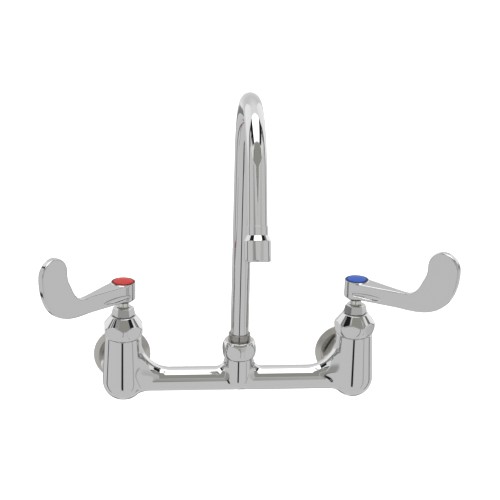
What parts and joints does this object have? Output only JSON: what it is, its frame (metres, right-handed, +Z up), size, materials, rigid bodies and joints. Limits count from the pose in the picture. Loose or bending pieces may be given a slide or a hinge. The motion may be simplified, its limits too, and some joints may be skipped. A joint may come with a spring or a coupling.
{
  "type": "wall-mounted gooseneck faucet",
  "caption": "Wall-mounted gooseneck faucet: cross-tube body, quarter-turn hot and cold valves with wrist-blade handles, swivelling spout with screened outlet, union nuts and wall flanges.",
  "frame": {"origin": "on the wall plane, midway between the hot and cold supply axes, at the height of the cross tube axis", "axes": "+X to the right for someone facing the wall (towards the cold side), +Y into the wall, +Z up"},
  "size_m": [0.3502, 0.1985, 0.2979],
  "materials": {
    "body_chrome": "polished",
    "nut_chrome": "polished",
    "coupling_chrome": "satin",
    "flange_steel": "brushed",
    "handle_chrome": "polished",
    "spout_chrome": "polished",
    "valve_brass": "machined",
    "stem_brass": "plated brass, polished",
    "disc_ceramic": "polished ceramic",
    "seal_rubber": "matte",
    "packing_white": "matte",
    "screw_steel": "machined",
    "straightener_grey": "matte",
    "button_red": "gloss",
    "button_blue": "gloss"
  },
  "bodies": {
    "body": {"faucet_body": "body_chrome", "swivel_nut": "nut_chrome", "swivel_washer": "packing_white", "hot_wall_flange": "flange_steel", "hot_coupling_nut": "coupling_chrome", "hot_coupling_washer": "seal_rubber", "hot_seat_seal": "seal_rubber", "hot_fixed_disc": "disc_ceramic", "hot_cartridge_sleeve": "valve_brass", "hot_bonnet_nut": "nut_chrome", "hot_packing_ring": "packing_white", "hot_packing_nut": "nut_chrome", "cold_wall_flange": "flange_steel", "cold_coupling_nut": "coupling_chrome", "cold_coupling_washer": "seal_rubber", "cold_seat_seal": "seal_rubber", "cold_fixed_disc": "disc_ceramic", "cold_cartridge_sleeve": "valve_brass", "cold_bonnet_nut": "nut_chrome", "cold_packing_ring": "packing_white", "cold_packing_nut": "nut_chrome"},
    "hot_valve": {"hot_rotor_disc": "disc_ceramic", "hot_valve_stem": "stem_brass", "hot_stem_oring": "seal_rubber", "hot_handle": "handle_chrome", "hot_handle_screw": "screw_steel", "hot_index_button": "button_red"},
    "cold_valve": {"cold_rotor_disc": "disc_ceramic", "cold_valve_stem": "stem_brass", "cold_stem_oring": "seal_rubber", "cold_handle": "handle_chrome", "cold_handle_screw": "screw_steel", "cold_index_button": "button_blue"},
    "spout": {"gooseneck_tube": "spout_chrome", "spout_collar": "spout_chrome", "spout_orings": "seal_rubber", "outlet_cup": "spout_chrome", "outlet_washer": "seal_rubber", "flow_straightener": "straightener_grey", "outlet_screen": "screw_steel"}
  },
  "joints": [
    {"name": "hot_turn", "type": "hinge", "parent": "body", "child": "hot_valve", "pos_m": [-0.1016, -0.057, 0], "axis": [0, 0, 1], "range_deg": [-46, 44]},
    {"name": "cold_turn", "type": "hinge", "parent": "body", "child": "cold_valve", "pos_m": [0.1016, -0.057, 0], "axis": [0, 0, -1], "range_deg": [-40, 50]},
    {"name": "spout_swivel", "type": "hinge", "parent": "body", "child": "spout", "pos_m": [0, -0.057, 0], "axis": [0, 0, 1], "continuous": true}
  ]
}
